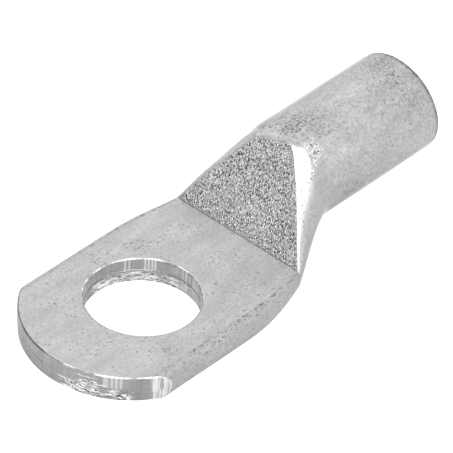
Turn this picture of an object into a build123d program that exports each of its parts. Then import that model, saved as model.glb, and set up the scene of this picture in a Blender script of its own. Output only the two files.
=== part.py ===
"""Tubular cable lug for a 16 mm2 conductor and an M8 stud, pressed from one piece of copper tube.

One end of the tube stays round and takes the conductor.  The other is flattened into the palm,
where the two tube walls lie on each other, and the stud hole and the round end are punched out.
Between them the press leaves a flat ramp on top, whose shoulders fade into the barrel.

Frame: origin at the centre of the stud hole on the palm's underside, +X to the barrel's mouth,
+Z up.  Millimetres and degrees.
"""
import os
from math import asin, cos, degrees, radians, sqrt, tan

from build123d import *

# Palm
palm_width = 14.3
palm_thickness = 2.04
stud_hole_diameter = 8.4
fold_width = 0.75               # upper rounding of the folded sides, seen from above
fold_base = 0.35                # their lower rounding, which is squarer
end_arc_radius = 7.8
end_arc_reach = 9.25            # hole centre to the tip of the round end
taper_start = 3.5               # hole centre to where the palm starts to narrow
hole_roll_over = 0.12           # upper edge of the hole, drawn in by the punch
seam_width = 0.12               # groove between the two tube walls on the punched end
seam_depth = 0.15

# Barrel
barrel_diameter = 8.0
bore_diameter = 5.5
barrel_length = 11.35           # the round part
barrel_rise = 1.05              # palm's underside up to the barrel's underside
mouth_chamfer = 0.25            # inner edge of the mouth
mouth_break = 0.12              # outer edge of the mouth

# Pressed part between palm and barrel
ramp_start = 9.87               # hole centre to the crease at the foot of the ramp
ramp_angle = 60                 # from the palm
shoulder_length = 1.48          # head of the ramp to the round part
crease_width = 12.26
crease_flat = 11.5              # width of the pressed flat at the crease
crease_corner = 1.3             # width of the rounding below the crease
crease_belly = 1.4              # height of the widest line at the crease
shoulder_fullness = 0.46        # of the curve beside the ramp: less is flatter
shoulder_drop = 0.18            # how steeply that curve leaves the ramp, as a share of its height
crown_flat = 1.2                # width of the flat that is left on the barrel's crown
cavity_slit = 0.1               # height left between the walls where the hollow ends

# Sections of the lofts, as shares of the way along each
palm_stations = (0, 0.4, 0.7, 1)
ramp_stations = (0, 0.3, 0.6, 0.9)
crown_stations = (0, 0.2, 0.45, 0.85)
cavity_stations = (0, 0.35, 0.7, 1)
ROUND = 0.5523                  # fullness of a Bezier curve that follows a quarter circle

barrel_radius = barrel_diameter / 2
bore_radius = bore_diameter / 2
barrel_wall = barrel_radius - bore_radius
axis_height = barrel_rise + barrel_radius
ramp_rise = barrel_rise + barrel_diameter - palm_thickness
ramp_run = ramp_rise / tan(radians(ramp_angle))
ramp_head = ramp_start + ramp_stations[-1] * ramp_run
flare_length = ramp_run + shoulder_length
barrel_start = ramp_start + flare_length
layer = palm_thickness / 2      # one tube wall in the flattened palm
end_arc_centre = end_arc_radius - end_arc_reach
seam_half_angle = degrees(asin((palm_width / 2 - 2 * fold_width) / end_arc_radius))
cavity_end = ramp_start + layer * (1 / cos(radians(ramp_angle)) - 1) / tan(radians(ramp_angle))


def blend(start, end, share):
    """The value a share of the way from start to end."""
    return start + (end - start) * share


def ease(share):
    """A share that leaves 0 and reaches 1 without a corner."""
    return share * share * (3 - 2 * share)


def pressed_section(position, half_width, flat, corner, low, belly, top, fullness=ROUND, drop=0):
    """The section of a pressed tube: flats above and below, rounded sides between them."""
    base = half_width - corner
    with BuildSketch(Plane.YZ.offset(position)) as section:
        with BuildLine():
            Line((-flat, top), (flat, top))
            Line((-base, low), (base, low))
            for side in (1, -1):
                Bezier(
                    (side * flat, top),
                    (side * blend(flat, half_width, fullness), blend(top, belly, drop)),
                    (side * half_width, blend(belly, top, fullness)),
                    (side * half_width, belly),
                )
                Bezier(
                    (side * half_width, belly),
                    (side * half_width, blend(belly, low, ROUND)),
                    (side * blend(base, half_width, ROUND), low),
                    (side * base, low),
                )
        make_face()
    return section.sketch


def round_section(position, radius, neighbour):
    """A circle on the barrel's axis, with its start where the neighbour's upper flat runs in."""
    flat = neighbour.edges().filter_by(GeomType.LINE).sort_by(Axis.Z)[-1]
    crown_angle = 180 * flat.length / neighbour.face().outer_wire().length
    with BuildSketch(Plane.YZ.offset(position)) as section:
        with BuildLine():
            CenterArc((0, axis_height), radius, 90 - crown_angle, 360)
        make_face()
    return section.sketch


def palm_shape(share):
    """The palm a share of the way from the start of its taper to the crease."""
    narrowed = share**2
    return dict(
        half_width=blend(palm_width, crease_width, narrowed) / 2,
        flat=blend(palm_width / 2 - fold_width, crease_flat / 2, narrowed),
        corner=blend(fold_base, crease_corner, narrowed),
        low=0,
        belly=blend(layer, crease_belly, narrowed),
        top=palm_thickness,
    )


def ramp_shape(share):
    """The outside a share of the way up the ramp."""
    along = share * ramp_run / flare_length
    risen = ease(along)
    return dict(
        half_width=blend(barrel_radius, crease_width / 2, (1 - along) ** 1.5),
        flat=crease_flat / 2 * max(0, 1 - share) ** 0.6,
        corner=blend(crease_corner, barrel_radius, risen),
        low=barrel_rise * risen,
        belly=blend(crease_belly, axis_height, risen),
        top=palm_thickness + share * ramp_rise,
        fullness=blend(ROUND, shoulder_fullness, min(1, 3 * share)),
        drop=blend(0, shoulder_drop, min(1, 3 * share)),
    )


def crown_shape(share):
    """The outside a share of the way from the head of the ramp to the barrel."""
    shape = ramp_shape((blend(ramp_head, barrel_start, share) - ramp_start) / ramp_run)
    head = ramp_shape(ramp_stations[-1])
    crown = axis_height + sqrt(barrel_radius**2 - (crown_flat / 2) ** 2)
    shape["flat"] = blend(head["flat"], crown_flat / 2, share)
    shape["top"] = blend(crown, head["top"], (1 - share) ** 4)
    shape["fullness"] = blend(head["fullness"], ROUND, share)
    shape["drop"] = blend(head["drop"], 0, share)
    return shape


def cavity_shape(share):
    """The hollow a share of the way from its closed end to the head of the ramp."""
    outside = ramp_shape((blend(cavity_end, ramp_head, share) - ramp_start) / ramp_run)
    head = ramp_shape(ramp_stations[-1])
    half_width = outside["half_width"] - blend(layer, barrel_wall, share)
    narrower = half_width / outside["half_width"]
    head_top = head["top"] - barrel_wall / cos(radians(ramp_angle))
    top = blend(layer + cavity_slit / 2, head_top, share)
    low = blend(layer - cavity_slit / 2, head["low"] + barrel_wall, ease(share))
    return dict(
        half_width=half_width,
        flat=outside["flat"] * narrower,
        corner=outside["corner"] * narrower,
        low=low,
        belly=blend(low, top, 0.45),
        top=top,
    )


palm_sections = [
    pressed_section(blend(taper_start, ramp_start, share), **palm_shape(share))
    for share in palm_stations
]
ramp_sections = [
    pressed_section(blend(ramp_start, ramp_start + ramp_run, share), **ramp_shape(share))
    for share in ramp_stations
]
crown_sections = [
    pressed_section(blend(ramp_head, barrel_start, share), **crown_shape(share))
    for share in crown_stations
]
cavity_sections = [
    pressed_section(blend(cavity_end, ramp_head, share), **cavity_shape(share))
    for share in cavity_stations
]
barrel_section = round_section(barrel_start, barrel_radius, crown_sections[-1])
bore_section = round_section(barrel_start, bore_radius, cavity_sections[-1])

with BuildSketch() as palm_end:
    with Locations((end_arc_centre, 0)):
        Circle(end_arc_radius)

with BuildSketch() as end_waste:
    with Locations((end_arc_centre, 0)):
        Rectangle(2 * end_arc_radius, 2 * palm_width, align=(Align.MAX, Align.CENTER))
    add(palm_end.sketch, mode=Mode.SUBTRACT)

with BuildSketch(Plane.XZ) as seam_groove:
    with BuildLine():
        Polyline(
            (-end_arc_reach - seam_depth, layer + seam_width),
            (-end_arc_reach + seam_depth, layer),
            (-end_arc_reach - seam_depth, layer - seam_width),
            close=True,
        )
    make_face()

with BuildPart() as cable_lug:
    # Outside: the flattened tube, its taper, the ramp with its shoulders, the barrel
    extrude(palm_sections[0], amount=-end_arc_reach - taper_start)
    loft(palm_sections)
    loft(ramp_sections)
    loft(crown_sections)
    loft([crown_sections[-1], barrel_section], ruled=True)
    extrude(barrel_section, amount=barrel_length)

    # Hollow: the bore, closing to a slit where the two walls meet under the ramp
    extrude(bore_section, amount=barrel_length, mode=Mode.SUBTRACT)
    loft([cavity_sections[-1], bore_section], ruled=True, mode=Mode.SUBTRACT)
    loft(cavity_sections, mode=Mode.SUBTRACT)

    # Mouth: the sawn end, broken outside and opened inside for the strands
    mouth_rims = cable_lug.faces().sort_by(Axis.X)[-1].edges().sort_by(SortBy.LENGTH)
    chamfer(mouth_rims[0], length=mouth_chamfer)
    mouth_rims = cable_lug.faces().sort_by(Axis.X)[-1].edges().sort_by(SortBy.LENGTH)
    fillet(mouth_rims[-1], radius=mouth_break)

    # Round end, punched through both walls, and the seam between them as far as they are flat
    extrude(end_waste.sketch, amount=palm_thickness, mode=Mode.SUBTRACT)
    for direction in (1, -1):
        revolve(
            seam_groove.sketch,
            axis=Axis((end_arc_centre, 0, 0), (0, 0, 1)),
            revolution_arc=direction * seam_half_angle,
            mode=Mode.SUBTRACT,
        )

    # Stud hole
    with Locations((0, 0, palm_thickness)):
        Hole(stud_hole_diameter / 2, depth=palm_thickness)
    hole_rim = cable_lug.edges(Select.LAST).filter_by(GeomType.CIRCLE).sort_by(Axis.Z)[-1]
    fillet(hole_rim, radius=hole_roll_over)

cable_lug.part.label = "cable_lug"
os.makedirs("parts", exist_ok=True)
export_step(cable_lug.part, "parts/cable_lug.step")
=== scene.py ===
"""Tubular cable lug of tinned copper: its visible surface, its finish, and the studio round it.

The lug is one piece of pressed tube, so its surface is one closed mesh.  It is worked out in
millimetres, patch by patch, from the sizes of the solid.  Neighbouring patches share their border
points, so they close without a seam.
"""

import bpy
import numpy as np
from mathutils import Matrix, Quaternion, Vector


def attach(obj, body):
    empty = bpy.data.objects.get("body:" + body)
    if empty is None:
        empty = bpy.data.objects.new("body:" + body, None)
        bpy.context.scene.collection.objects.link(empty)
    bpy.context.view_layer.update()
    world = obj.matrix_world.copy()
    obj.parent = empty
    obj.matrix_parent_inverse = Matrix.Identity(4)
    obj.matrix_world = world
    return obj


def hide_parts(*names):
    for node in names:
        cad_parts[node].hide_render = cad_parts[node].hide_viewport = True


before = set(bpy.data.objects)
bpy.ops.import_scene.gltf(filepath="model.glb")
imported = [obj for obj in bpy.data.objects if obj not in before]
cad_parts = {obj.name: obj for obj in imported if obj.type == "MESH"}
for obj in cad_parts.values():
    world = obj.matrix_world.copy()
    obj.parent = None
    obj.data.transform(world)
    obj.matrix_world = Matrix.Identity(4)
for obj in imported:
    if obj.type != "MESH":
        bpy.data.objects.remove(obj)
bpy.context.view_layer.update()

MM = 0.001
WHITE = (1, 1, 1, 1)

# Sizes of the solid, millimetres
palm_width = 14.3
palm_thickness = 2.04
hole_radius = 4.2
fold_width = 0.75
fold_base = 0.35
end_arc_radius = 7.8
end_arc_reach = 9.25
taper_start = 3.5
hole_roll_over = 0.12
barrel_radius = 4.0
bore_radius = 2.75
barrel_length = 11.35
barrel_rise = 1.05
mouth_chamfer = 0.25
mouth_break = 0.12
ramp_start = 9.87
ramp_slope = np.tan(np.radians(60))     # the ramp rises 60 degrees from the palm
shoulder_length = 1.48
crease_width = 12.26
crease_flat = 11.5
crease_corner = 1.3
crease_belly = 1.4
cavity_end = 10.46              # where the hollow closes to a line
ROUND = 0.5523                  # fullness of a Bezier curve that follows a quarter circle

# Sizes that only show close up.  Places are x, y or z in the frame.
end_roll_over = 0.1             # upper edge of the punched end
seam_width = 0.06
seam_depth = 0.07
fracture_start = 0.55           # share of the thickness at which the punched walls tore
fracture_run = 0.3
fracture_recess = 0.05
mouth_beyond = 0.19             # how far the sawn mouth lies beyond the solid's
mouth_slant = 0.07              # the saw ran a little out of square

# The ramp's border and the crown above it
border_power = 0.86             # how the border closes in: 1 is straight, less is rounder
border_head = 1.0               # half the ramp's width where the crown cuts it off
arch_centring = 1.6             # how fast the arch's two halves come together up the ramp
flare_power = 1.5               # how the half width shrinks to the barrel's radius
edge_rounding = 0.2
crown_bend = 0.25               # rounding where the shoulders run up into the crown
crown_dip = 0.12                # of the crown where the ramp cuts into it
crown_cut = 0.59                # how deep the edge above the ramp is cut at the middle
crown_cut_start = 13.2
crown_cut_power = 1.2           # how fast the cut runs out towards the barrel
crown_tilt = 0.30               # that edge drops towards +Y
crown_tilt_end = 1.6
crown_softening = 0.6           # rounding of the cut beyond the ramp's head
crown_softening_start = 13.3
crown_softening_slant = 0.2     # it starts later on the -Y side
crown_softening_run = 0.8
crown_start = 12.5              # nothing is cut before this

# The facet between the ramp's -Y border and the barrel
facet_point = (13.6, -2.3, 7.875)
facet_slopes = (0.565, 0.612)   # its rise along X and along Y
facet_bend = 0.155              # how far it falls off with the square of x
facet_lip = 0.1                 # how far it turns up again towards the crown
facet_start = 11.5
facet_run = 1.5
facet_rounding = 0.12

# The +Y shoulder stands out at its foot and in at its head: how far, where, and its reach along X
bulge_size, bulge_place, bulge_reach = 0.27, 11.2, 1.5
bulge_start, bulge_run = 2.5, 2.0
border_bulge = 0.5              # share of the bulge that the ramp's border takes part in
dent_size, dent_place, dent_reach = 0.28, 14.0, 0.8
dent_start, dent_run = 1.5, 1.5

# The hollow under the ramp
roof_rise = 0.97                # slope of its roof, as a share of the ramp's
roof_power = 0.65               # how its upper flat closes in
hollow_corner_growth = 12       # its lower corners are full after 1/12 of its length

# Unevenness of the surface: each layer's height, the size of its cells and its seed
grain_layers = ((0.017, 0.25, 3), (0.011, 0.14, 5))
wave_layers = ((0.02, 3.5, 11), (0.006, 1.1, 12))
rubble_layers = ((0.035, 0.35, 21), (0.015, 0.15, 22))
wave_share = 0.6
ding_depth = 0.04

axis_height = barrel_rise + barrel_radius
layer = palm_thickness / 2
ramp_rise = barrel_rise + 2 * barrel_radius - palm_thickness
ramp_run = ramp_rise / ramp_slope
flare_length = ramp_run + shoulder_length
barrel_start = ramp_start + flare_length
mouth = barrel_start + barrel_length
end_arc_centre = end_arc_radius - end_arc_reach
wall = barrel_radius - bore_radius
head_share = 0.9                # how far up the ramp its head begins
ramp_head = ramp_start + head_share * ramp_run

# The photograph's camera in metres: its place, and the directions right, up and back
camera_place = (-0.199775, -0.179016, 0.225943)
view_right = (0.678053, -0.733653, 0.044698)
view_up = (0.439008, 0.453011, 0.775921)
view_back = (-0.589505, -0.506493, 0.629244)
sensor_width = 36               # millimetres, as is the focal length
focal_length = 394.86
lamp_target = (0.01, 0, 0.003)  # metres

# Directions of the room's dimmer side, its brighter backdrop and its bright ceiling
dim_side = (-0.85, 0.5, 0.1)
backdrop = (0.62, 0.78, 0.05)
overhead = (0.15, 0.45, 0.88)

# Painted highlight streaks, upright, on the punched walls: degrees round the hole, and y along the
# round end
hole_painted_streaks = (-44, 31, 34, 37.5, 41, 56.5, 60.5, 118, 124)
end_painted_streaks = (-5.0, -4.75, -4.5, -4.2, -4.05)

# Columns round half a section, from the crown to the middle of the underside
TOP_COLUMNS = 60
SIDE_COLUMNS = 24
HALF = 2 * TOP_COLUMNS + SIDE_COLUMNS
RING = 2 * HALF
ARC_COLUMNS = 150               # along the round end
side_crowding = 1.6             # how much closer the side's columns lie to the ramp's border
side_crowding_run = 1.5

# Rows of each patch
SIDE_ROWS = 100                 # along the folded sides of the palm
RAMP_ROWS = 90
HEAD_ROWS = 16
BARREL_ROWS = 36
RIM_ROWS = 5
FACE_ROWS = 5
BORE_ROWS = 10
HOLLOW_ROWS = 16
PALM_ROWS = 40
UNDERSIDE_ROWS = 8
CHAMFER_STEPS = (0.35, 0.7, 1.0)
# Rows of the punched walls as shares of the way down, closer at the upper edge and at the seam
WALL_STEPS = np.array([
    0, 0.006, 0.015, 0.03, 0.05, 0.09, 0.15, 0.21, 0.27, 0.33, 0.39, 0.44, 0.465, 0.5,
    0.535, 0.56, 0.61, 0.67, 0.73, 0.79, 0.85, 0.91, 0.96, 1,
])
palm_crowding = 1.1             # how much closer the palm's rows lie to the hole
sharp_angle = 52                # faces that meet at more degrees than this are shaded apart


def blend(start, end, share):
    """The value a share of the way from start to end."""
    return start + (end - start) * share


def ease(share):
    """Three times a share's square less twice its cube: it leaves 0 and reaches 1 without a corner."""
    share = np.clip(share, 0, 1)
    return share * share * (3 - 2 * share)


def rising(value, start, run):
    """0 up to a start, 1 from a run beyond it, eased between."""
    return ease((value - start) / run)


def falling(value, end, run):
    """1 until a run before an end, 0 from the end on, eased between."""
    return ease((end - value) / run)


def bell(value, centre, reach):
    """1 at a centre, and e to the minus square of the distance over the reach beside it."""
    return np.exp(-(((value - centre) / reach) ** 2))


def soft_min(first, second, width):
    """The lower of two heights, rounded by a parabola where they are within a width of each other."""
    share = np.clip(0.5 + 0.5 * (second - first) / np.maximum(width, 1e-9), 0, 1)
    return blend(second, first, share) - width * share * (1 - share)


def noise(points, cell, seed):
    """Smooth random values from -1 to 1: a lattice of random numbers, one per cell, eased between."""
    size = 32
    lattice = np.random.default_rng(seed).uniform(-1, 1, (size, size, size))
    place = points / cell
    low = np.floor(place).astype(int)
    part = ease(place - low)
    value = 0.0
    for dx in (0, 1):
        for dy in (0, 1):
            for dz in (0, 1):
                corner = lattice[
                    (low[..., 0] + dx) % size,
                    (low[..., 1] + dy) % size,
                    (low[..., 2] + dz) % size,
                ]
                weight = (
                    np.abs(1 - dx - part[..., 0])
                    * np.abs(1 - dy - part[..., 1])
                    * np.abs(1 - dz - part[..., 2])
                )
                value = value + corner * weight
    return value


def noise_layers(points, layers):
    """A sum of noises, each with its height, cell and seed."""
    return sum(height * noise(points, cell, seed) for height, cell, seed in layers)


def outside(x):
    """Sizes of the pressed tube's outside at x: half width, flats, heights.

    The palm narrows with the square of the way to the crease.  Beyond the crease the upper side
    is an arch, part of an ellipse, and the ramp cuts it off in a straight rise.  The arch is as
    high as makes the ramp's border close in with a power of what is left of the ramp, up to the
    crown.  The half width shrinks to the barrel's radius with a power of what is left of the flare.
    """
    narrowed = np.clip((x - taper_start) / (ramp_start - taper_start), 0, 1) ** 2
    climbed = np.clip((x - ramp_start) / ramp_run, 0, 1)
    along = np.clip((x - ramp_start) / flare_length, 0, 1)
    risen = ease(along)
    beyond = np.clip((x - ramp_head) / (barrel_start - ramp_head), 0, 1)
    on_palm = x < ramp_start
    half = np.where(
        on_palm,
        blend(palm_width, crease_width, narrowed) / 2,
        blend(barrel_radius, crease_width / 2, (1 - along) ** flare_power),
    )
    corner = np.where(
        on_palm,
        blend(fold_base, crease_corner, narrowed),
        blend(crease_corner, barrel_radius, risen),
    )
    belly = np.where(
        on_palm,
        blend(layer, crease_belly, narrowed),
        blend(crease_belly, axis_height, risen),
    )
    palm_flat = blend(palm_width / 2 - fold_width, crease_flat / 2, narrowed)
    closing = border_head + (crease_flat / 2 - border_head) * (1 - climbed) ** border_power
    centre = np.where(on_palm, palm_flat, closing * (1 - np.clip(arch_centring * climbed, 0, 1)))
    lean = np.where(on_palm, 0, (closing - centre) / (half - centre))
    ramp_top = palm_thickness + np.maximum(x - ramp_start, 0) * ramp_slope
    crown = barrel_rise + 2 * barrel_radius - crown_dip * (1 - beyond) ** 2
    arch = belly + (ramp_top - belly) / np.sqrt(1 - lean**2)
    arch = np.where(on_palm, arch, soft_min(arch, crown, crown_bend))
    top = np.where(on_palm, arch, soft_min(ramp_top, arch, edge_rounding * climbed**4))
    level = np.clip((top - belly) / (arch - belly), 0, 1)
    return dict(
        half=half,
        centre=centre,
        flat=centre + (half - centre) * np.sqrt(1 - level**2),
        base=half - corner,
        low=barrel_rise * risen,
        belly=belly,
        top=top,
        arch=arch,
    )


def cavity(x):
    """Sizes of the hollow at x: it closes to a line where the two walls meet, and opens to the bore.

    Its roof follows the ramp, about a wall's thickness below it, up to the bore.  The rest is
    eased from that line to the bore.
    """
    share = np.clip((x - cavity_end) / (barrel_start - cavity_end), 0, 1)
    opened = ease(share)
    roof = layer + (x - cavity_end) * ramp_slope * roof_rise
    bore_top = axis_height + bore_radius
    top = np.minimum(roof, bore_top)
    low = blend(layer, axis_height - bore_radius, opened)
    half = outside(x)["half"] - blend(layer, wall, opened)
    left = np.clip((bore_top - top) / (bore_top - layer), 0, 1)
    corner = blend(0, bore_radius, opened) * ease(share * hollow_corner_growth)
    flat = half * left**roof_power
    return dict(
        half=half,
        centre=flat,
        flat=flat,
        base=half - corner,
        low=low,
        belly=blend(low, top, 0.5),
        top=top,
        arch=top,
    )


def curve_points(sizes):
    """Half a section as dense points, and the length along it to each.

    From the crown: the upper flat, the arch's ellipse down to the widest line, a Bezier curve
    to the lower flat, and the lower flat to the middle.
    """
    zero = np.zeros_like(sizes["half"])
    half, flat, base = sizes["half"], sizes["flat"], sizes["base"]
    top, belly, low = sizes["top"], sizes["belly"], sizes["low"]
    centre, arch = sizes["centre"], sizes["arch"]
    lower = [
        (half, belly),
        (half, blend(belly, low, ROUND)),
        (blend(base, half, ROUND), low),
        (base, low),
    ]
    t = np.linspace(0, 1, 61)
    weights = np.stack([(1 - t) ** 3, 3 * t * (1 - t) ** 2, 3 * t**2 * (1 - t), t**3])
    lower = np.einsum("kt,kcn->ntc", weights, np.array(lower))
    first = np.arcsin(np.clip((flat - centre) / np.maximum(half - centre, 1e-9), 0, 1))
    angle = blend(first[:, None], np.pi / 2, t)
    upper_y = centre[:, None] + (half - centre)[:, None] * np.sin(angle)
    upper_z = belly[:, None] + (arch - belly)[:, None] * np.cos(angle)
    upper = np.stack([upper_y, upper_z], -1)
    crown = np.stack([zero, top], -1)[:, None]
    keel = np.stack([zero, low], -1)[:, None]
    points = np.concatenate([crown, upper, lower[:, 1:], keel], 1)
    steps = np.linalg.norm(np.diff(points, axis=1), axis=2)
    lengths = np.concatenate([np.zeros((len(points), 1)), np.cumsum(steps, 1)], 1)
    return points, lengths


def at_length(points, lengths, wanted):
    """The point of each section at the wanted length from its crown, straight between its points."""
    after = (lengths[:, 1:-1] <= wanted[:, None]).sum(1)
    rows = np.arange(len(points))
    before_length = lengths[rows, after]
    step = lengths[rows, after + 1] - before_length
    share = (wanted - before_length) / np.where(step > 0, step, 1)
    return blend(points[rows, after], points[rows, after + 1], np.clip(share, 0, 1)[:, None])


def every_pair(x, column):
    """The shape of a grid of x and columns, and both of them for each of its points in a row."""
    shape = np.broadcast_shapes(np.shape(x), np.shape(column))
    flat_x, flat_column = (np.broadcast_to(a, shape).ravel().astype(float) for a in (x, column))
    return shape, flat_x, flat_column


def skin(x, column):
    """Points of the outside at x and at a column counted from the crown (0) to the keel (HALF).

    On the palm and the ramp the columns keep to the upper flat's border; towards the barrel
    they spread evenly round it.
    """
    shape, x, column = every_pair(x, column)
    sizes = outside(x)
    points, lengths = curve_points(sizes)
    total = lengths[:, -1]
    spread = ease((x - ramp_head) / (barrel_start - ramp_head))
    top_end = blend(sizes["flat"], total * TOP_COLUMNS / HALF, spread)
    side_even = blend(top_end, total, SIDE_COLUMNS / (SIDE_COLUMNS + TOP_COLUMNS))
    off_palm = rising(x, ramp_start, side_crowding_run)
    side_end = blend(total - sizes["base"], side_even, off_palm)
    wanted = np.interp(column, (0, TOP_COLUMNS), (0, 1)) * top_end
    crowded = blend(1, side_crowding, off_palm * (1 - spread))
    side = np.clip((column - TOP_COLUMNS) / SIDE_COLUMNS, 0, 1) ** crowded
    under = np.clip((column - TOP_COLUMNS - SIDE_COLUMNS) / TOP_COLUMNS, 0, 1)
    wanted = wanted + side * (side_end - top_end) + under * (total - side_end)
    yz = at_length(points, lengths, wanted)
    return np.column_stack([x, yz]).reshape(*shape, 3)


def inside(x, column):
    """Points of the hollow at x and at a column, spread evenly round the section."""
    shape, x, column = every_pair(x, column)
    points, lengths = curve_points(cavity(x))
    yz = at_length(points, lengths, lengths[:, -1] * column / HALF)
    return np.column_stack([x, yz]).reshape(*shape, 3)


def whole_ring(half):
    """A ring from the points of its +Y half: down that side, and up the mirrored other side."""
    other = half[..., ::-1, :] * (1, -1, 1)
    return np.concatenate([half, other[..., 1:, :]], -2)


def mouth_plane(z):
    """Where the sawn mouth lies at height z: a plane that leans back evenly as it rises."""
    return mouth + mouth_beyond - mouth_slant * (z - axis_height)


def barrel_ring(radius, back=None):
    """A half ring of a radius on the barrel's axis: a distance back from the mouth, or at the start."""
    angle = np.linspace(0, np.pi, HALF + 1)
    y = radius * np.sin(angle)
    z = axis_height + radius * np.cos(angle)
    x = np.full_like(y, barrel_start) if back is None else mouth_plane(z) - back
    return np.stack([x, y, z], -1)


def facet_height(x, y):
    """Height of the facet beside the ramp: a plane that falls off with the square of x.

    Towards the crown it turns up with the square of y.
    """
    x_from, y_from = x - facet_point[0], y - facet_point[1]
    plane = facet_point[2] + facet_slopes[0] * x_from + facet_slopes[1] * y_from
    return plane - facet_bend * x_from**2 + facet_lip * np.maximum(y_from, 0) ** 2


def tilted_crown(points):
    """Cuts the crown above the ramp lower on the +Y side, and lays a facet beside it on the other.

    The cut's depth is a straight line in y times a power of what is left of the way to the
    barrel.  Both are the lower of two heights with a rounding between them.
    """
    x, y, z = (points[..., k] for k in range(3))
    rounding = facet_rounding * rising(x, facet_start, facet_run)
    z = np.where((y < 0) & (x > facet_start), soft_min(z, facet_height(x, y), rounding), z)
    left = np.clip((barrel_start - x) / (barrel_start - crown_cut_start), 0, 1) ** crown_cut_power
    depth = (crown_cut + crown_tilt * np.minimum(y, crown_tilt_end)) * left
    softening_start = crown_softening_start + crown_softening_slant * np.maximum(-y, 0)
    softened = rising(x, softening_start, crown_softening_run)
    rounding = blend(edge_rounding, crown_softening, softened)
    cut = barrel_rise + 2 * barrel_radius - depth
    lowered = np.where(x > crown_start, soft_min(z, cut, rounding), z)
    return np.stack([x, y, lowered], -1)


def tube_patch():
    """The tube from the crease round the mouth and in to the closed end of the hollow.

    Rows go up the ramp, along the barrel, over the mouth's rim, back down the bore and into
    the hollow under the ramp, where the last row folds shut on itself.
    """
    column = np.arange(HALF + 1)
    climb = np.linspace(0, 1, RAMP_ROWS + 1)
    ramp = skin((ramp_start + climb * ramp_run)[:, None], column)
    head = skin(np.linspace(ramp_start + ramp_run, barrel_start, HEAD_ROWS + 1)[1:, None], column)
    share = np.linspace(0, 1, BARREL_ROWS + 1)[1:, None, None]
    barrel = blend(barrel_ring(barrel_radius), barrel_ring(barrel_radius, mouth_break), share)
    rim = [
        barrel_ring(barrel_radius - mouth_break * (1 - np.cos(a)), mouth_break * (1 - np.sin(a)))
        for a in np.linspace(0, np.pi / 2, RIM_ROWS + 1)[1:]
    ]
    face_ends = barrel_radius - mouth_break, bore_radius + mouth_chamfer
    face = [barrel_ring(radius, 0.0) for radius in np.linspace(*face_ends, FACE_ROWS + 1)[1:]]
    inner = [
        barrel_ring(bore_radius + mouth_chamfer * (1 - step), mouth_chamfer * step)
        for step in CHAMFER_STEPS
    ]
    share = np.linspace(0, 1, BORE_ROWS + 1)[1:, None, None]
    bore = blend(inner[-1], barrel_ring(bore_radius), share)
    depth = np.linspace(0, 1, HOLLOW_ROWS + 1)[1:]
    hollow = inside(blend(barrel_start, cavity_end, depth)[:, None], column)
    outer = tilted_crown(whole_ring(np.concatenate([ramp, head])))
    return np.concatenate([outer, whole_ring(np.concatenate([barrel, rim, face, inner, bore, hollow]))])


def end_line(radius, y):
    """Where a circle about the end arc's centre cuts the line at y, on the end's side."""
    return end_arc_centre - np.sqrt(radius**2 - y**2)


def fold_patch():
    """The folded side of the palm at +Y: even rows from the punched end to the crease.

    Each column starts where the end's arc cuts it, further in by the roll-over and the torn band.
    """
    column = TOP_COLUMNS + np.arange(SIDE_COLUMNS + 1)
    _, y, z = skin(0, column).T
    lower_half = column > TOP_COLUMNS + SIDE_COLUMNS // 2
    rolled = np.where(lower_half, 0, end_roll_over * np.clip((z - layer) / layer, 0, 1))
    thickness = np.abs(z - z[::-1])
    torn = np.where(lower_half, punched_offset(thickness, thickness, 0), 0)
    start = end_line(end_arc_radius - rolled - torn, y)
    share = np.linspace(0, 1, SIDE_ROWS + 1)[:, None]
    return skin(blend(start, ramp_start, share), column)


def palm_border(fold, tube, upper):
    """The palm's border seen from above, turning left from the crease's -Y end.

    Along the crease, back along the +Y side, round the punched end, and forward along -Y.
    """
    if upper:
        right = tube[0, RING - TOP_COLUMNS : RING]
        left = tube[0, : TOP_COLUMNS + 1]
        crease = np.concatenate([right, left])
        side = fold[:, 0]
    else:
        first = TOP_COLUMNS + SIDE_COLUMNS
        crease = tube[0, first : RING - first + 1][::-1]
        side = fold[:, -1]
    radius = np.hypot(side[0, 0] - end_arc_centre, side[0, 1])
    back = side[::-1]
    forward = side * (1, -1, 1)
    reach = np.arcsin(side[0, 1] / radius)
    angle = np.linspace(reach, -reach, ARC_COLUMNS + 1)
    arc = np.stack(
        [
            end_arc_centre - radius * np.cos(angle),
            radius * np.sin(angle),
            np.full_like(angle, side[0, 2]),
        ],
        -1,
    )
    arc[0] = side[0]
    arc[-1] = forward[0]
    return np.concatenate([crease, back[1:], arc[1:], forward[1:]]), arc


def palm_face(border, radius, height, rows):
    """A flat of the palm: straight lines from the hole's rim to the border, closer near the rim."""
    angle = np.arctan2(border[:, 1], border[:, 0])
    rim = np.stack([radius * np.cos(angle), radius * np.sin(angle), np.full_like(angle, height)], -1)
    share = np.linspace(0, 1, rows + 1)[:, None, None] ** palm_crowding
    return blend(rim, border, share), angle


def punched_offset(depth, thickness, roll, open_seam=1.0):
    """How far a punched wall stands back at a depth below the upper face.

    A quarter round at the top, a groove between the two tube walls where they stand apart, and
    below it a band that tore instead of being cut and stands a little further back.
    """
    roll = np.maximum(roll, 1e-6)
    rounded = roll * (1 - np.sqrt(1 - np.clip(1 - depth / roll, 0, 1) ** 2))
    full = rising(thickness / palm_thickness, 0.3, 0.5)
    groove = open_seam * seam_depth * np.clip(1 - np.abs(depth - thickness / 2) / seam_width, 0, 1)
    torn = fracture_recess * rising(depth, thickness * fracture_start, fracture_run)
    return rounded + full * (groove + torn)


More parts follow.
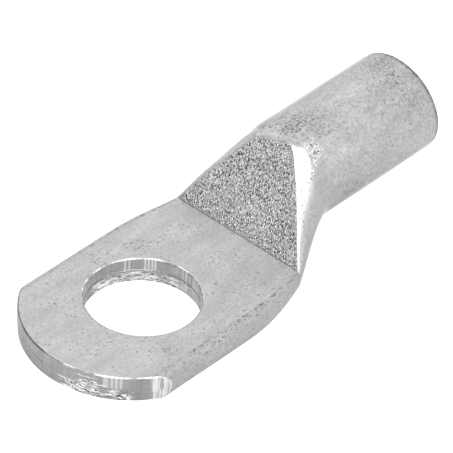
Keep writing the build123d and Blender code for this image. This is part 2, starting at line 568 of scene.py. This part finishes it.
def end_wall(fold, upper_arc, lower_arc):
    """The punched end: rows from the upper edge to the lower one, columns from +Y to -Y.

    Its seam is open in stretches, where a noise is high, and closed near the -Y corner.
    """
    middle = SIDE_COLUMNS // 2
    upper_side = fold[0, : middle + 1]
    lower_side = fold[0, middle:][::-1]
    upper = np.concatenate([upper_side[::-1], upper_arc[1:-1], upper_side * (1, -1, 1)])
    lower = np.concatenate([lower_side[::-1], lower_arc[1:-1], lower_side * (1, -1, 1)])
    thickness = upper[:, 2] - lower[:, 2]
    share = WALL_STEPS[:, None]
    y = blend(upper[:, 1], lower[:, 1], share)
    z = blend(upper[:, 2], lower[:, 2], share)
    roll = end_arc_radius - np.hypot(upper[:, 0] - end_arc_centre, upper[:, 1])
    open_seam = rising(upper[:, 1], -5.2, 0.6) * ease(0.6 + noise(upper, 1.3, 41))
    offset = punched_offset(share * thickness, thickness, roll, open_seam)
    x = end_line(end_arc_radius - offset, y)
    wall_points = np.stack([x, y, z], -1)
    wall_points[0] = upper
    return wall_points


def hole_wall(angle):
    """The punched hole: rows from the rim down, columns turning left.

    Its radius is the hole's plus the punched wall's offset at that depth.
    """
    depth = (WALL_STEPS * palm_thickness)[:, None]
    offset = punched_offset(depth, palm_thickness, hole_roll_over)
    radius = hole_radius + offset
    z = palm_thickness - depth + 0 * angle
    return np.stack([radius * np.cos(angle), radius * np.sin(angle), z], -1)


def quads(ids, flip=False):
    """Four-cornered faces of a grid of point numbers, facing along row direction x column direction."""
    a, b, c, d = ids[:-1, :-1], ids[1:, :-1], ids[1:, 1:], ids[:-1, 1:]
    order = (a, d, c, b) if flip else (a, b, c, d)
    return np.stack([corner.ravel() for corner in order], -1)


def lug_patches():
    """Every patch of the lug as (points, whether its faces are turned over, finish)."""
    tube = tube_patch()
    fold = fold_patch()
    upper_border, upper_arc = palm_border(fold, tube, True)
    lower_border, lower_arc = palm_border(fold, tube, False)
    upper, angle = palm_face(upper_border, hole_radius + hole_roll_over, palm_thickness, PALM_ROWS)
    hole = hole_wall(angle)
    lower = blend(hole[-1], lower_border, np.linspace(0, 1, UNDERSIDE_ROWS + 1)[:, None, None])
    end = end_wall(fold, upper_arc, lower_arc)
    other_fold = fold[:, ::-1] * (1, -1, 1)
    return [
        (tube, False, "skin"),
        (fold, False, "skin"),
        (other_fold, False, "skin"),
        (upper, False, "skin"),
        (lower, True, "skin"),
        (hole, True, "sheared"),
        (end, False, "sheared"),
    ]


def closed_mesh(patches):
    """Joins the patches: points that lie on each other become one, quads become triangles."""
    points, faces, finish = [], [], []
    count = 0
    for patch, flip, name in patches:
        ids = count + np.arange(patch.shape[0] * patch.shape[1]).reshape(patch.shape[:2])
        count += ids.size
        points.append(patch.reshape(-1, 3))
        made = quads(ids, flip)
        faces.append(made)
        finish.append(np.full(len(made), name))
    points = np.concatenate(points)
    faces = np.concatenate(faces)
    finish = np.concatenate(finish)
    _, first, same = np.unique(np.round(points, 5), axis=0, return_index=True, return_inverse=True)
    points = points[first]
    faces = same.reshape(-1)[faces]
    triangles = np.concatenate([faces[:, [0, 1, 2]], faces[:, [0, 2, 3]]])
    finish = np.concatenate([finish, finish])
    a, b, c = triangles.T
    real = (a != b) & (b != c) & (c != a)
    return points, triangles[real], finish[real]


def point_normals(points, triangles):
    """The mean direction of the faces round each point."""
    a, b, c = (points[triangles[:, k]] for k in range(3))
    across = np.cross(b - a, c - a)
    total = np.zeros_like(points)
    for k in range(3):
        np.add.at(total, triangles[:, k], across)
    return total / np.maximum(np.linalg.norm(total, axis=1, keepdims=True), 1e-12)


def make_piece(name, points, triangles, materials, numbers, masks):
    """A mesh object from points in millimetres, with its materials and its point masks."""
    mesh = bpy.data.meshes.new(name)
    mesh.vertices.add(len(points))
    mesh.vertices.foreach_set("co", (points * MM).astype(np.float32).ravel())
    mesh.loops.add(triangles.size)
    mesh.loops.foreach_set("vertex_index", triangles.astype(np.int32).ravel())
    mesh.polygons.add(len(triangles))
    mesh.polygons.foreach_set("loop_start", np.arange(0, triangles.size, 3, dtype=np.int32))
    for material in materials:
        mesh.materials.append(material)
    mesh.polygons.foreach_set("material_index", numbers.astype(np.int32))
    mesh.polygons.foreach_set("use_smooth", np.ones(len(triangles), bool))
    mesh.update(calc_edges=True)
    mesh.set_sharp_from_angle(angle=np.radians(sharp_angle))
    for mask_name, values in masks.items():
        attribute = mesh.attributes.new(mask_name, "FLOAT", "POINT")
        attribute.data.foreach_set("value", values.astype(np.float32))
    piece = bpy.data.objects.new(name, mesh)
    bpy.context.scene.collection.objects.link(piece)
    return piece


def ramp_mask(points):
    """1 on the pressed ramp, 0 elsewhere, with a narrow fade inside its border."""
    x, y, z = points.T
    off_plane = np.abs(z - palm_thickness - (x - ramp_start) * ramp_slope)
    inside_flat = falling(np.abs(y), outside(x)["flat"], 0.12)
    return inside_flat * falling(off_plane, 0.08, 0.04) * rising(x, ramp_start, 0.06)


def hole_points(points):
    """Which points lie on the hole's wall, and how far round from +X each lies, in degrees."""
    x, y, _ = points.T
    return np.hypot(x, y) < hole_radius + 0.3, np.degrees(np.arctan2(y, x))


def beside(value, places, width):
    """1 at each of the places along a line, fading out over a width."""
    distance = np.abs(value[:, None] - np.array(places)).min(1)
    return bell(distance, 0, width)


def painted_streak_mask(points):
    """1 on the painted highlight streaks, upright, of the punched walls, broken up downwards."""
    _, y, z = points.T
    in_hole, turned = hole_points(points)
    streaks = np.where(in_hole, beside(turned, hole_painted_streaks, 0.9), beside(y, end_painted_streaks, 0.06))
    return streaks * rising(z, 0.95, 0.15)


def soft_spots(points, places):
    """Soft round spots: each has its centre, its reach and its strength."""
    total = np.zeros(len(points))
    for place, reach, strength in places:
        distance = np.linalg.norm(points - np.array(place), axis=1)
        total += strength * bell(distance, 0, reach)
    return np.clip(total, 0, 1)


def stain_mask(points):
    """Where dark specks lie thicker: behind the ramp, low on the barrel, at the mouth, on the palm."""
    return soft_spots(points, (
        ((15.2, 0.2, 9.0), 1.4, 0.8),
        ((13.9, 2.2, 8.4), 0.9, 0.6),
        ((17.0, -1.2, 8.9), 1.5, 0.45),
        ((17.5, -3.9, 4.0), 1.7, 0.5),
        ((24.5, -2.0, 8.4), 1.8, 0.35),
        ((25.3, 0.6, 9.0), 1.5, 0.6),
        ((0.5, 5.6, 2.0), 1.2, 0.3),
        ((-3.0, -5.2, 2.0), 1.0, 0.4),
        ((4.0, 4.2, 2.0), 0.8, 0.4),
    ))


def painted_light_mask(points):
    """Where the tin is painted lighter, standing in for light: on the barrel's near side, low on the
    ramp and before the crease.
    """
    return soft_spots(points, (
        ((16.2, -2.8, 7.9), 1.7, 1.0),
        ((20.0, -2.6, 8.1), 2.8, 0.5),
        ((10.8, -0.8, 3.6), 2.3, 0.45),
        ((8.4, 0.0, 2.0), 2.2, 0.35),
    ))


def painted_edge_highlight_mask(points):
    """1 on the rounded upper edges of the punched walls: a painted highlight where they would catch the
    light.
    """
    _, y, z = points.T
    in_hole, turned = hole_points(points)
    round_hole = rising(turned, -8, 10) * falling(turned, 150, 20)
    line = np.where(in_hole, round_hole, falling(y, -0.9, 0.4))
    broken = ease(0.65 + 0.8 * noise(points, 0.4, 43))
    return rising(z, palm_thickness - 0.09, 0.04) * line * broken


def ding_mask(points):
    """1 along the border between the palm and its folds, broken into dings."""
    x, y, z = points.T
    over_border = np.abs(y) - outside(x)["flat"]
    near = bell(over_border, 0.04, 0.09) * (x < ramp_start) * (z > layer)
    broken = ease(0.5 + noise(points, 0.55, 31)) * ease(0.9 + 1.4 * noise(points, 0.22, 32))
    return near * (0.45 + 0.55 * broken) * np.where(y < 0, 1, 0.6)


def fold_mask(points):
    """1 on the folded sides of the palm, fading out over the border and up the shoulders."""
    x, y, _ = points.T
    over_border = np.abs(y) - outside(x)["flat"]
    return rising(over_border, -0.15, 0.3) * falling(x, ramp_start + 3, 3)


def burnished_and_glint_mask(points):
    """How far the shoulders beside the ramp slid in the die: less rough there, and lighter in colour as
    a painted glint.

    More on the -Y side and on its facet, and nothing on the lower part of either side.
    """
    x, y, z = points.T
    sizes = outside(x)
    below = (sizes["top"] - z) / np.maximum(sizes["top"] - sizes["belly"], 0.1)
    off_ramp = np.abs(y) > sizes["flat"]
    length = rising(x, ramp_start, 0.3) * falling(x, barrel_start - 0.9, 0.8)
    side = blend(0.35, 1, falling(y, -0.9, 0.4))
    off_facet = rising(facet_height(x, y) - z, 0.02, 0.06) * (y < 0) * rising(x, 11.3, 0.5)
    side = side * (1 - 0.75 * off_facet)
    return off_ramp * length * side * falling(below, 0.6, 0.35)


def bumps_and_painted_glints_mask(points):
    """1 along the outer border of the facet beside the ramp: a band of fine bumps and painted glint
    speckles.
    """
    x, y, z = points.T
    under = facet_height(x, y) - z
    band = rising(under, 0.008, 0.02) * falling(under, 0.2, 0.14)
    outer_line = -3.22 + 0.76 * (x - 13.55)
    beyond = np.maximum(falling(y, outer_line, 0.2), rising(x, 14.5, 0.2))
    return band * beyond * (y < -1.2) * rising(x, 12.7, 0.5) * falling(x, 15.6, 0.3)


def torn_and_glitter_mask(points):
    """How far the lower half of the punched walls is torn, and where their glitter and glint marks are
    painted: all round the hole, part of the end.
    """
    _, y, z = points.T
    in_hole, turned = hole_points(points)
    lower = falling(z, palm_thickness * 0.46, 0.12)
    round_hole = 0.2 + 0.3 * rising(turned, 2, 12) * falling(turned, 104, 12)
    along_end = 1.3 * falling(y, -0.4, 0.9) * rising(y, -5.7, 0.5)
    higher = 0.6 * falling(z, 1.88, 0.1) * falling(y, -1.9, 0.9) * rising(y, -4.4, 0.8)
    lengthwise = points * (0.16, 0.16, 1)
    broken = ease(0.75 + 1.6 * noise(lengthwise, 0.16, 42))
    return np.where(in_hole, lower * round_hole, np.maximum(lower * along_end, higher) * broken)


def painted_lit_wall_mask(points):
    """1 on the side of the hole's wall that faces the round end, and at that end's -Y corner: painted
    light there.
    """
    x, y, _ = points.T
    in_hole, _ = hole_points(points)
    corner = falling(y, -6.4, 0.1) * (x < 0)
    return np.where(in_hole, 0.5 * rising(x, 1.2, 2.5) * falling(y, 1.5, 2), corner)


def painted_edge_shade_mask(points):
    """1 on thin edges painted dark as shade: the mouth's outer rim and the +Y part of the round end's
    upper edge.
    """
    x, y, z = points.T
    from_mouth = mouth_plane(z) - x
    from_axis = np.hypot(y, z - axis_height)
    at_mouth = falling(from_mouth, 0.176, 0.11) * rising(from_axis, barrel_radius - 0.16, 0.05)
    from_end = end_arc_radius - np.hypot(x - end_arc_centre, y)
    at_top = rising(z, palm_thickness - 0.12, 0.05)
    at_end = falling(from_end, 0.11, 0.05) * at_top * rising(y, -0.5, 1.5)
    return np.maximum(at_mouth * (x > barrel_start), at_end * (x < 0))


def shoulder_shift(points):
    """How far the +Y shoulder moves along Y: a bell outwards at its foot, one inwards at its head."""
    x, y, _ = points.T
    taking_part = blend(border_bulge, 1, rising(y, outside(x)["flat"], 0.3))
    bulge = bell(x, bulge_place, bulge_reach) * taking_part * rising(y, bulge_start, bulge_run)
    dent = bell(x, dent_place, dent_reach) * rising(y, dent_start, dent_run)
    return bulge_size * bulge - dent_size * dent


def lug_surface(materials):
    """The whole lug.

    Its points move along their normals by noises, each times the mask of where it counts, and
    the +Y shoulder shifts along Y.
    """
    points, triangles, finish = closed_mesh(lug_patches())
    normals = point_normals(points, triangles)
    pressed = ramp_mask(points)
    sheared = np.zeros(len(points))
    sheared[triangles[finish == "sheared"]] = 1
    torn = torn_and_glitter_mask(points) * sheared
    dings = ding_mask(points)
    plain = (1 - sheared) * (1 - pressed)
    height = pressed * noise_layers(points, grain_layers)
    height += plain * (noise_layers(points, wave_layers) * wave_share - ding_depth * dings)
    height += torn * noise_layers(points, rubble_layers)
    moved = points + normals * height[:, None]
    moved[:, 2] = np.maximum(moved[:, 2], 0)
    moved[:, 1] += shoulder_shift(points)
    number = (finish == "sheared").astype(int)
    masks = {
        "pressed": pressed,
        "burnished_and_glint": burnished_and_glint_mask(points),
        # the torn band, which also carries painted glitter and glint marks
        "torn": torn,
        "painted_streak": painted_streak_mask(points) * sheared,
        "stain": stain_mask(points),
        # where the tin is painted lighter, standing in for light
        "pale": painted_light_mask(points),
        "painted_edge_highlight": painted_edge_highlight_mask(points) * sheared,
        "ding": dings,
        "barrel": rising(points[:, 0], 13.5, 2),
        "painted_edge_shade": painted_edge_shade_mask(points),
        "fold": fold_mask(points) * (1 - sheared),
        "bumps_and_painted_glints": bumps_and_painted_glints_mask(points) * plain,
        "painted_lit_wall": painted_lit_wall_mask(points) * sheared,
    }
    return make_piece("lug_surface", moved, triangles, materials, number, masks)


def add(nodes, kind, **values):
    """A node of a kind with values for its inputs; an underscore in a name stands for a space."""
    node = nodes.new(kind)
    for name, value in values.items():
        node.inputs[name.replace("_", " ")].default_value = value
    return node


def math(tree, operation, first, second=None, third=None, clamp=False):
    """A Math node over outputs or numbers; returns its output."""
    node = tree.nodes.new("ShaderNodeMath")
    node.operation = operation
    node.use_clamp = clamp
    for socket, given in zip(node.inputs, (first, second, third)):
        if given is None:
            continue
        if isinstance(given, (int, float)):
            socket.default_value = given
        else:
            tree.links.new(given, socket)
    return node.outputs[0]


def add_up(tree, start, terms):
    """A value that starts at a number and takes up each term times its weight, held within 0 and 1."""
    total = start
    for place, (term, weight) in enumerate(terms, 1):
        total = math(tree, "MULTIPLY_ADD", term, weight, total, clamp=place == len(terms))
    return total


def above(tree, value, level, where):
    """How far a value is above a level, times the mask of where that counts."""
    return math(tree, "MULTIPLY", math(tree, "SUBTRACT", value, level), where)


def group_tree(name, output, **numbers):
    """A new shader group: a Vector and numbers go in, one value comes out.

    Returns its tree, what goes in, the scale for its textures and the socket for its value.
    Per_mm is how many cells lie on a millimetre.
    """
    tree = bpy.data.node_groups.new(name, "ShaderNodeTree")
    tree.interface.new_socket("Vector", in_out="INPUT", socket_type="NodeSocketVector")
    for number_name, value in numbers.items():
        socket = tree.interface.new_socket(number_name, in_out="INPUT", socket_type="NodeSocketFloat")
        socket.default_value = value
    tree.interface.new_socket(output, in_out="OUTPUT", socket_type="NodeSocketFloat")
    given = tree.nodes.new("NodeGroupInput").outputs
    scale = math(tree, "MULTIPLY", given["Per_mm"], 1000.0)
    return tree, given, scale, tree.nodes.new("NodeGroupOutput").inputs[output]


def texture(tree, kind, vector, scale, **values):
    """A texture node over a vector at a scale, with values for its other inputs."""
    node = add(tree.nodes, kind, **values)
    tree.links.new(vector, node.inputs["Vector"])
    tree.links.new(scale, node.inputs["Scale"])
    return node.outputs


def make_grain_group():
    """Pressed grain: soft noise, and rounded cells a little finer than it."""
    tree, given, scale, result = group_tree("grain", "Height", Per_mm=4.0)
    soft = texture(tree, "ShaderNodeTexNoise", given["Vector"], scale, Detail=1.0, Roughness=0.6)
    cells = texture(tree, "ShaderNodeTexVoronoi", given["Vector"], math(tree, "MULTIPLY", scale, 1.3))
    tree.links.new(math(tree, "MULTIPLY_ADD", cells["Distance"], -0.5, soft["Fac"]), result)
    return tree


def make_pit_group():
    """Small dark pits: round spots, one to a cell, of which only a share is kept."""
    tree, given, scale, result = group_tree("pits", "Mask", Per_mm=1.0, Radius=0.1, Share=0.5)
    cells = texture(tree, "ShaderNodeTexVoronoi", given["Vector"], scale)
    split = tree.nodes.new("ShaderNodeSeparateColor")
    tree.links.new(cells["Color"], split.inputs[0])
    kept = math(tree, "LESS_THAN", split.outputs[0], given["Share"])
    radius = math(tree, "MULTIPLY", given["Radius"], split.outputs[1])
    spot = math(tree, "SUBTRACT", 1.4, math(tree, "DIVIDE", cells["Distance"], radius), clamp=True)
    tree.links.new(math(tree, "MULTIPLY", spot, kept), result)
    return tree


def make_speck_group():
    """Fine dark specks: the peaks of a rough noise, more of them where Amount is higher."""
    tree, given, scale, result = group_tree("specks", "Mask", Per_mm=5.0, Amount=0.0)
    rough = texture(tree, "ShaderNodeTexNoise", given["Vector"], scale, Detail=3.0, Roughness=0.7)
    limit = math(tree, "MULTIPLY_ADD", given["Amount"], -0.15, 0.68)
    peaks = math(tree, "SUBTRACT", rough["Fac"], limit)
    tree.links.new(math(tree, "MULTIPLY", peaks, 14.0, clamp=True), result)
    return tree


def make_mottle_group():
    """Cloudy unevenness: coarse and fine noise in one value about 0.5."""
    tree, given, scale, result = group_tree("mottle", "Value", Per_mm=1.0, Contrast=1.0)
    clouds = texture(tree, "ShaderNodeTexNoise", given["Vector"], scale, Detail=5.0, Roughness=0.62)
    centred = math(tree, "SUBTRACT", clouds["Fac"], 0.5)
    tree.links.new(math(tree, "MULTIPLY_ADD", centred, given["Contrast"], 0.5), result)
    return tree


def place_group(tree, group, vector, **values):
    """A group node fed with a vector and its own numbers or values; returns its output."""
    node = tree.nodes.new("ShaderNodeGroup")
    node.node_tree = group
    tree.links.new(vector, node.inputs["Vector"])
    for name, value in values.items():
        if isinstance(value, (int, float)):
            node.inputs[name].default_value = value
        else:
            tree.links.new(value, node.inputs[name])
    return node.outputs[0]


def principled(name):
    """A new material with its tree, its shader and its Object coordinates."""
    material = bpy.data.materials.new(name)
    material.use_nodes = True
    tree = material.node_tree
    where = tree.nodes.new("ShaderNodeTexCoord").outputs["Object"]
    return material, tree, tree.nodes["Principled BSDF"], where


def grey(tree, value, shader):
    """Feeds a value to the base colour as a grey."""
    colour = tree.nodes.new("ShaderNodeCombineColor")
    for socket in colour.inputs[:3]:
        tree.links.new(value, socket)
    tree.links.new(colour.outputs[0], shader.inputs["Base Color"])


def bump(tree, height, distance, strength, normal=None):
    """A Bump node over a height; its distance is in millimetres."""
    node = add(tree.nodes, "ShaderNodeBump", Strength=strength, Distance=distance * MM)
    tree.links.new(height, node.inputs["Height"])
    if normal is not None:
        tree.links.new(normal, node.inputs["Normal"])
    return node.outputs["Normal"]


def mask(tree, name):
    """A point mask of the mesh as a value."""
    node = tree.nodes.new("ShaderNodeAttribute")
    node.attribute_name = name
    return node.outputs["Fac"]


def stretched(tree, where, scale):
    """Object coordinates drawn out along an axis: a small scale gives long streaks."""
    node = add(tree.nodes, "ShaderNodeMapping", Scale=scale)
    tree.links.new(where, node.inputs["Vector"])
    return node.outputs[0]


def painted_rim_sheen(tree, start):
    """0 where the surface faces the camera, rising to 1 where it is seen edge on: it lightens the
    colour as a painted sheen.
    """
    weight = add(tree.nodes, "ShaderNodeLayerWeight", Blend=0.5)
    share = tree.nodes.new("ShaderNodeMapRange")
    share.interpolation_type = "SMOOTHSTEP"
    share.inputs["From Min"].default_value = start
    tree.links.new(weight.outputs["Facing"], share.inputs["Value"])
    return share.outputs[0]


def tin_plate(groups):
    """Matt tin plate: cloudy, with specks and pits, coarse grain on the pressed ramp, and painted
    sparkle, glints, sheen and edge shade.
    """
    material, tree, shader, where = principled("tin_plate")
    shader.inputs["Metallic"].default_value = 1
    pressed = mask(tree, "pressed")
    burnished_and_glint = mask(tree, "burnished_and_glint")
    bumps_and_painted_glints = mask(tree, "bumps_and_painted_glints")
    stain = mask(tree, "stain")
    ding = mask(tree, "ding")
    barrel = mask(tree, "barrel")
    drawn = stretched(tree, where, (0.3, 1.0, 1.0))
    up_ramp = stretched(tree, where, (0.42, 1.0, 0.42))
    clouds = place_group(tree, groups["mottle"], where, Per_mm=0.7, Contrast=1.0)
    fine = place_group(tree, groups["mottle"], where, Per_mm=5.0, Contrast=1.6)
    drawn_clouds = place_group(tree, groups["mottle"], drawn, Per_mm=0.9, Contrast=1.4)
    grain = place_group(tree, groups["grain"], up_ramp, Per_mm=11.0)
    amount = math(tree, "MULTIPLY_ADD", drawn_clouds, 1.4, -0.35)
    for place, weight in ((stain, 1.1), (mask(tree, "fold"), 0.35), (ding, 0.7)):
        amount = math(tree, "MULTIPLY_ADD", place, weight, amount)
    specks = place_group(tree, groups["specks"], where, Per_mm=5.2, Amount=amount)
    pits = place_group(tree, groups["pits"], where, Per_mm=1.0, Radius=0.14, Share=0.22)
    plain_tin = math(tree, "SUBTRACT", 1.0, math(tree, "MAXIMUM", pressed, burnished_and_glint))
    dark_spots = math(tree, "MULTIPLY", math(tree, "MAXIMUM", pits, specks), plain_tin)
    grain_and_sparkle_contrast = math(tree, "MULTIPLY_ADD", clouds, 3.0, 0.3)
    shade = add_up(tree, 0.205, (
        (clouds, 0.12),
        (drawn_clouds, 0.20),
        (fine, 0.18),
        (above(tree, fine, 0.5, barrel), 0.2),
        (above(tree, drawn_clouds, 0.5, barrel), 0.06),
        (stain, -0.06),
        # painted light: lighter patches on the barrel's near side, low on the ramp and before the
        # crease
        (mask(tree, "pale"), 0.12),
        # painted glint on the shoulders that slid in the die
        (burnished_and_glint, 0.18),
        (pressed, 0.18),
        (dark_spots, -0.19),
        (ding, -0.1),
        # painted shade: thin dark edges at the mouth's rim and the round end's +Y upper edge
        (mask(tree, "painted_edge_shade"), -0.45),
        # the ramp's grain, its cells also painted lighter and darker as sparkle and shade
        (above(tree, grain, 0.3, pressed), grain_and_sparkle_contrast),
        # painted glint speckles beside the facet
        (above(tree, grain, 0.08, bumps_and_painted_glints), 2.3),
        # painted sheen where the surface is seen edge on
        (painted_rim_sheen(tree, 0.72), 0.30),
    ))
    grey(tree, shade, shader)
    roughness = add_up(tree, 0.32, ((clouds, 0.20), (pressed, -0.14), (burnished_and_glint, -0.24)))
    tree.links.new(roughness, shader.inputs["Roughness"])
    plain = bump(tree, fine, 0.012, 0.6)
    pitted = bump(tree, math(tree, "MULTIPLY", dark_spots, -1.0), 0.03, 1.0, plain)
    grain_height = math(tree, "MULTIPLY", grain, math(tree, "ADD", pressed, bumps_and_painted_glints))
    tree.links.new(bump(tree, grain_height, 0.32, 1.0, pitted), shader.inputs["Normal"])
    return material


def sheared_edge(groups):
    """Punched walls: sheared smooth with upright streaks above, torn below; painted highlight streaks
    and upper edges, painted glitter and glint marks on the torn band, a painted lit side.
    """
    material, tree, shader, where = principled("sheared_edge")
    shader.inputs["Metallic"].default_value = 1
    torn = mask(tree, "torn")
    upright = stretched(tree, where, (1.0, 1.0, 0.04))
    level = stretched(tree, where, (0.16, 0.16, 1.0))
    layered = stretched(tree, where, (0.45, 0.45, 1.0))
    streaks = place_group(tree, groups["mottle"], upright, Per_mm=3.0, Contrast=2.4)
    bands = place_group(tree, groups["mottle"], upright, Per_mm=0.5, Contrast=2.0)
    scored = place_group(tree, groups["mottle"], upright, Per_mm=4.5, Contrast=2.4)
    layers = place_group(tree, groups["mottle"], level, Per_mm=6.5, Contrast=2.2)
    rubble = place_group(tree, groups["grain"], layered, Per_mm=6.5)
    painted_glint_strokes = math(tree, "MULTIPLY_ADD", layers, 6.0, -2.9, clamp=True)
    painted_lit_scratches = math(tree, "MULTIPLY_ADD", scored, 5.0, -1.9, clamp=True)
    shade = add_up(tree, 0.205, (
        (bands, 0.12),
        (streaks, 0.08),
        (layers, 0.12),
        # painted glitter on the torn band
        (above(tree, rubble, 0.2, torn), 2.2),
        # painted shade along the round end's +Y upper edge
        (mask(tree, "painted_edge_shade"), -0.25),
        # painted glint marks along the torn band
        (math(tree, "MULTIPLY", painted_glint_strokes, torn), 0.95),
        # painted light on the hole's wall facing the round end and at the end's -Y corner
        (math(tree, "MULTIPLY", painted_lit_scratches, mask(tree, "painted_lit_wall")), 0.42),
        # painted highlight on the walls' rounded upper edges
        (mask(tree, "painted_edge_highlight"), 0.5),
        # painted highlight: upright streaks on the punched walls
        (mask(tree, "painted_streak"), 0.38),
    ))
    grey(tree, shade, shader)
    tree.links.new(math(tree, "MULTIPLY_ADD", bands, 0.2, 0.15), shader.inputs["Roughness"])
    smooth = bump(tree, streaks, 0.05, 0.8)
    torn_height = math(tree, "MULTIPLY", rubble, torn)
    tree.links.new(bump(tree, torn_height, 0.1, 1.0, smooth), shader.inputs["Normal"])
    return material


def add_lamp(name, azimuth, elevation, roll, distance, width, height, power):
    """A soft lamp aimed at the lug from an azimuth (0 is +X, 90 is +Y) and an elevation, rolled."""
    lamp = bpy.data.lights.new(name, "AREA")
    lamp.shape = "RECTANGLE"
    lamp.size = width
    lamp.size_y = height
    lamp.energy = power
    holder = bpy.data.objects.new(name, lamp)
    a, e = np.radians(azimuth), np.radians(elevation)
    back = Vector((np.cos(a) * np.cos(e), np.sin(a) * np.cos(e), np.sin(e)))
    holder.location = Vector(lamp_target) + back * distance
    turned = back.to_track_quat("Z", "Y") @ Quaternion((0, 0, 1), np.radians(roll))
    holder.rotation_euler = turned.to_euler()
    bpy.context.scene.collection.objects.link(holder)


def facing_share(tree, where, direction, start, end, low, high):
    """A value that goes from low to high as the view into the room turns to a direction.

    Start and end are cosines of the angle between the two.
    """
    towards = tree.nodes.new("ShaderNodeVectorMath")
    towards.operation = "DOT_PRODUCT"
    towards.inputs[1].default_value = direction
    tree.links.new(where, towards.inputs[0])
    share = tree.nodes.new("ShaderNodeMapRange")
    share.interpolation_type = "SMOOTHSTEP"
    for name, value in (("From Min", start), ("From Max", end), ("To Min", low), ("To Max", high)):
        share.inputs[name].default_value = value
    tree.links.new(towards.outputs["Value"], share.inputs["Value"])
    return share.outputs[0]


def surround():
    """The world: white to the camera; for the metal a pale room, dimmer to one side."""
    world = bpy.data.worlds.new("surround")
    bpy.context.scene.world = world
    world.use_nodes = True
    tree = world.node_tree
    nodes, links = tree.nodes, tree.links
    room = nodes["Background"]
    where = nodes.new("ShaderNodeTexCoord").outputs["Generated"]
    level = facing_share(tree, where, dim_side, start=0.75, end=0.98, low=1.02, high=0.37)
    brighter = facing_share(tree, where, backdrop, start=0.75, end=0.97, low=0.0, high=0.2)
    level = math(tree, "ADD", level, brighter)
    ceiling = facing_share(tree, where, overhead, start=0.85, end=1.0, low=0.0, high=0.9)
    level = math(tree, "ADD", level, ceiling)
    links.new(level, room.inputs["Color"])
    path = nodes.new("ShaderNodeLightPath")
    white = add(nodes, "ShaderNodeBackground", Color=WHITE)
    mix = nodes.new("ShaderNodeMixShader")
    links.new(path.outputs["Is Camera Ray"], mix.inputs[0])
    links.new(room.outputs[0], mix.inputs[1])
    links.new(white.outputs[0], mix.inputs[2])
    links.new(mix.outputs[0], nodes["World Output"].inputs["Surface"])


def pale_floor():
    """A plain pale floor.  To the camera it adds white to what falls on it, so its shadow is faint.

    The metal mirrors it a little paler than it is lit.
    """
    size = 1.5
    depth = -0.00002                # just below the palm, so that the two don't lie in one plane
    camera_glow = 0.75
    mirrored_glow = 0.22
    mesh = bpy.data.meshes.new("floor")
    corners = [(-size, -size, depth), (size, -size, depth), (size, size, depth), (-size, size, depth)]
    mesh.from_pydata(corners, [], [(0, 1, 2, 3)])
    floor = bpy.data.objects.new("floor", mesh)
    bpy.context.scene.collection.objects.link(floor)
    material, tree, shader, _ = principled("pale_floor")
    shader.inputs["Base Color"].default_value = (0.6, 0.6, 0.6, 1)
    shader.inputs["Roughness"].default_value = 1
    shader.inputs["Specular IOR Level"].default_value = 0
    shader.inputs["Emission Color"].default_value = WHITE
    path = tree.nodes.new("ShaderNodeLightPath")
    glow = math(tree, "MULTIPLY", path.outputs["Is Camera Ray"], camera_glow)
    glow = math(tree, "MULTIPLY_ADD", path.outputs["Is Glossy Ray"], mirrored_glow, glow)
    tree.links.new(glow, shader.inputs["Emission Strength"])
    mesh.materials.append(material)


def studio():
    """A pale room, a pale floor and one wide soft lamp, above the camera and to its right."""
    surround()
    pale_floor()
    add_lamp(
        "soft_box", azimuth=-118, elevation=50, roll=28, distance=0.5, width=0.6, height=0.56, power=1.8
    )


def photo_camera():
    """The camera of the photograph, fitted to the stud hole and the lug's edges."""
    camera_data = bpy.data.cameras.new("camera")
    camera_data.sensor_width = sensor_width
    camera_data.lens = focal_length
    camera_data.clip_start = 0.02
    camera_data.clip_end = 10
    camera = bpy.data.objects.new("camera", camera_data)
    rotation = Matrix((view_right, view_up, view_back)).transposed()
    camera.matrix_world = Matrix.Translation(camera_place) @ rotation.to_4x4()
    bpy.context.scene.collection.objects.link(camera)
    bpy.context.scene.camera = camera


groups = {
    "grain": make_grain_group(),
    "pits": make_pit_group(),
    "specks": make_speck_group(),
    "mottle": make_mottle_group(),
}
lug = lug_surface([tin_plate(groups), sheared_edge(groups)])
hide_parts("cable_lug")
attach(lug, "root")
photo_camera()
studio()
bpy.context.scene.view_settings.view_transform = "Standard"
